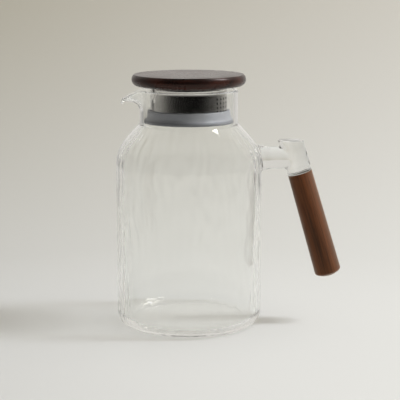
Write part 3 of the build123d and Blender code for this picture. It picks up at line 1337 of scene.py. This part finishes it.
@dataclass(frozen=True)
class Room:
    """The room round the table, painted on the world.

    The camera sees an even backdrop. The jug mirrors walls, a ceiling and two bright panes, and what
    light has been scattered once comes from a plain fill with a glow from the right.
    Walls are given by their turn in degrees, from straight behind, over the left, the front and the
    right, with their tone. Spans are heights of the way, or how far it goes back, from -1 to 1.
    """

    backdrop: Colour = (0.66, 0.64, 0.6, 1.0)
    warmth: Vector = Vector((1.0, 0.975, 0.925))
    fill_front: float = 0.18
    fill_back: float = 0.35
    fill_sides: tuple[float, float] = (-0.7, 0.7)
    fill_rise: tuple[float, float] = (0.12, 0.5)
    glow_right: Colour = (3.4, 3.34, 3.12, 1.0)
    glow_narrowness: float = 2.0
    ceiling_front: float = 0.1
    ceiling_back: float = 0.78
    ceiling_sides: tuple[float, float] = (-0.5, 0.6)
    ceiling_rise: tuple[float, float] = (0.25, 0.6)
    wall_rise: tuple[float, float] = (-0.04, 0.02)
    skirting: float = 0.6
    skirting_rise: tuple[float, float] = (-0.155, -0.13)
    pane: Pane = Pane(112.0, 6.5, 56.0, 64.0)
    deep_pane: Pane = Pane(90.0, 14.0, 38.0, 57.0)
    deep_from: float = 3.0
    pane_light: float = 15.0
    lower_walls: Walls = (
        *((-180.0, 0.62), (-150.0, 0.38), (-136.0, 0.3), (-131.0, 0.05), (-127.0, 0.06), (-122.0, 0.42)),
        *((-101.0, 0.38), (-88.0, 0.29), (-76.0, 0.19), (-65.0, 0.11), (-55.0, 0.06), (-36.0, 0.018)),
        *((0.0, 0.004), (30.0, 0.006), (43.0, 0.018), (56.0, 0.034), (67.0, 0.055), (78.0, 0.09)),
        *((100.0, 0.2), (119.0, 0.35), (140.0, 0.55), (163.0, 0.68), (180.0, 0.62)),
    )
    upper_walls: Walls = (
        *((-180.0, 0.85), (-140.0, 0.5), (-100.0, 0.3), (-60.0, 0.08), (0.0, 0.03)),
        *((60.0, 0.06), (100.0, 0.3), (140.0, 0.6), (180.0, 0.85)),
    )

    def paint(self) -> None:
        """Paint the room on the world."""
        world = bpy.data.worlds.new("room")
        world.use_nodes = True
        world.node_tree.nodes.clear()
        wire = Wiring(world.node_tree)
        way = wire.add("SeparateXYZ", {0: wire.add("TexCoord").outputs["Generated"]}).outputs
        height, back = way["Z"], way["Y"]
        turn = wire.sum("ARCTAN2", way["X"], wire.sum("MULTIPLY", back, -1.0))
        turn = wire.ranged(turn, -math.pi, math.pi)
        upper, lower = self._walls(wire, turn, self.upper_walls), self._walls(wire, turn, self.lower_walls)

        fill = self._mixed(wire, wire.ranged(back, *self.fill_sides), self.fill_front, self.fill_back)
        fill = self._mixed(wire, wire.ranged(height, *self.fill_rise), upper, fill)
        glow = wire.sum("POWER", wire.sum("MAXIMUM", way["X"], 0.0), self.glow_narrowness)
        fill = wire.mixed(glow, fill, self.glow_right, "ADD")

        path = wire.add("LightPath").outputs
        through = wire.sum("GREATER_THAN", path["Transmission Depth"], self.deep_from)
        deep = wire.sum("MULTIPLY", self.deep_pane.cut(wire, turn, height), through)
        aft = wire.ranged(back, *self.ceiling_sides)
        ceiling = self._mixed(wire, aft, self.ceiling_front, self.ceiling_back)
        seen = self._mixed(wire, wire.ranged(height, *self.wall_rise), lower, upper)
        seen = self._mixed(wire, wire.ranged(height, *self.ceiling_rise), seen, ceiling)
        seen = self._mixed(wire, wire.ranged(height, *self.skirting_rise, 1.0, 0.0), seen, self.skirting)
        seen = self._mixed(wire, self.pane.cut(wire, turn, height), seen, self.pane_light)
        seen = self._mixed(wire, deep, seen, self.pane_light)

        scattered = wire.sum("MINIMUM", path["Diffuse Depth"], 1.0)
        colour = wire.mixed(wire.turned_back(), self.backdrop, wire.mixed(scattered, seen, fill))
        background = wire.add("Background", {"Color": colour, "Strength": 1.0})
        wire.add("OutputWorld", {"Surface": background.outputs[0]})
        bpy.context.scene.world = world

    def _tone(self, tone: float) -> Colour:
        """Return the warm grey of a tone."""
        return (*(self.warmth * tone), 1.0)

    def _mixed(self, wire: Wiring, share: Socket, *both: Socket | float) -> Socket:
        """Mix two colours or tones, by the share of the second."""
        return wire.mixed(share, *(one if isinstance(one, Socket) else self._tone(one) for one in both))

    def _walls(self, wire: Wiring, turn: Socket, walls: Walls) -> Socket:
        """Paint walls round the jug.

        Args:
            wire: the world's wiring.
            turn: the turn from straight behind, over the left and the front, from 0 to 1.
            walls: their turns and tones.

        Returns:
            The walls' colour.
        """
        node = wire.add("ValToRGB", {0: turn})
        ramp = node.color_ramp.elements
        ramp.remove(ramp[0])
        for i, (angle, tone) in enumerate(walls):
            place = (angle + 180.0) / 360.0
            element = ramp.new(place) if i else ramp[0]
            element.position = place
            element.color = self._tone(tone)
        return node.outputs[0]


@dataclass
class Studio:
    """The table, the light and the camera."""

    camera_dip: float = math.radians(10.41)
    focal: float = 115.1
    sensor: float = 36.0
    table_reach: float = 40.0
    table_drop: float = 0.02 * MM
    window_rows: tuple[float, ...] = (math.radians(40.0), math.radians(46.5), math.radians(53.0))
    window_width: float = math.radians(9.0)
    window_share: float = 0.33
    window_colour: tuple[float, float, float] = (0.93, 0.98, 1.06)
    glass_bounces: int = 24
    clear_bounces: int = 32

    def lay_table(self, paper: Tabletop) -> Piece:
        """Lay the table with its wide pale paper.

        Args:
            paper: its finish.

        Returns:
            The table.
        """
        shape = bmesh.new()
        level = Matrix.Translation((0.0, 0.0, -self.table_drop))
        bmesh.ops.create_circle(shape, cap_ends=True, radius=self.table_reach, segments=96, matrix=level)
        for face in shape.faces:
            face.normal_update()
            if face.normal.z < 0.0:
                face.normal_flip()
        table = finished(shape, "table", paper)
        return table

    def open_window(self, lit: list[Piece]) -> None:
        """Let the light of a tall window in from the right; it gives the table its stated share of the light.

        Args:
            lit: what it shines on. The glass mirrors the painted pane instead.
        """
        receivers = bpy.data.collections.new("window_lit")
        for piece in lit:
            receivers.objects.link(piece)
        for row, rise in enumerate(self.window_rows):
            name = f"window_row_{row + 1}"
            lamp = bpy.data.lights.new(name, "SUN")
            lamp.angle = self.window_width
            lamp.energy = self.window_share * math.pi / math.sin(rise) / len(self.window_rows)
            lamp.color = self.window_colour
            light = bpy.data.objects.new(name, lamp)
            light.rotation_mode = "QUATERNION"
            light.rotation_quaternion = Vector((math.cos(rise), 0.0, math.sin(rise))).to_track_quat("Z", "Y")
            bpy.context.scene.collection.objects.link(light)
            light.light_linking.receiver_collection = receivers

    def follow_light(self) -> None:
        """Let light be followed through all the walls of the glass, in plain colours."""
        paths = bpy.context.scene.cycles
        paths.max_bounces = paths.transmission_bounces = paths.glossy_bounces = self.glass_bounces
        paths.transparent_max_bounces = self.clear_bounces
        bpy.context.scene.view_settings.view_transform = "Standard"

    def set_camera(self) -> None:
        """Set the camera up at the eye's place, dipped towards the jug."""
        camera = bpy.data.objects.new("camera", bpy.data.cameras.new("camera"))
        camera.data.lens = self.focal
        camera.data.sensor_width = self.sensor
        camera.data.clip_start = 10.0 * MM
        camera.data.clip_end = 100.0
        camera.location = EYE
        camera.rotation_mode = "QUATERNION"
        dip = Matrix.Rotation(math.radians(90.0) - self.camera_dip, 4, "X")
        camera.rotation_quaternion = dip.to_quaternion()
        bpy.context.scene.collection.objects.link(camera)
        bpy.context.scene.camera = camera


def report(piece: Piece) -> None:
    """Log a finished piece and its size.

    Args:
        piece: the piece.
    """
    corners = [Vector(corner) for corner in piece.bound_box]
    size = [(max(c[i] for c in corners) - min(c[i] for c in corners)) / MM for i in range(3)]
    log.info("%-14s %6d faces, %.1f x %.1f x %.1f mm", piece.name, len(piece.data.polygons), *size)


def main() -> None:
    """Build and dress the jug, then set up the studio."""
    logging.basicConfig(level=logging.INFO, format="%(message)s")
    studio = Studio()
    studio.follow_light()
    studio.set_camera()
    table = studio.lay_table(Tabletop("pale_paper"))
    Room().paint()

    arm = WeldedArm()
    grip_wood = Walnut(
        "grip_walnut",
        dark=(0.034, 0.009, 0.002, 1.0),
        light=(0.155, 0.045, 0.012, 1.0),
        ring_spacing=7.0 * MM,
        smooth=0.42,
        open_pores=0.6,
        bloom=0.4,
        sheen=(1.0, 0.8, 0.62, 1.0),
        way=GrainWay.ALONG_THE_GRIP,
        heart=Vector((0.15, 0.05, 0.1)),
        slant=arm.tilt - math.radians(90.0),
    )
    lid_wood = Walnut(
        "lid_walnut",
        dark=(0.006, 0.0012, 0.0008, 1.0),
        light=(0.042, 0.009, 0.0045, 1.0),
        ring_spacing=6.0 * MM,
        smooth=0.27,
        open_pores=0.4,
        bloom=0.06,
        heart=Vector((0.0, 0.02, 0.16)),
    )
    report(GlassJug(arm).build(ClearGlass("clear_glass")))
    grip, lid = Grip(arm), StrainerLid()
    pieces = [
        grip.build(grip_wood),
        grip.dress_bush(Silicone("bush_rubber", milk=(0.55, 0.54, 0.5, 1.0), shade=(0.45, 0.44, 0.41, 1.0))),
        lid.build_disc(lid_wood),
        lid.dress_drum(PolishedSteel("polished_steel", inner_shade_within=32.8 * MM)),
        lid.build_screws(PolishedSteel("screw_steel", polish=0.16, worn=0.28)),
        Seal().build(Silicone("seal_silicone", gloss=1.0, lip_shade_below=180.0 * MM)),
    ]
    for piece in pieces:
        report(piece)
    studio.open_window([table, *pieces])


if __name__ == "__main__":
    main()
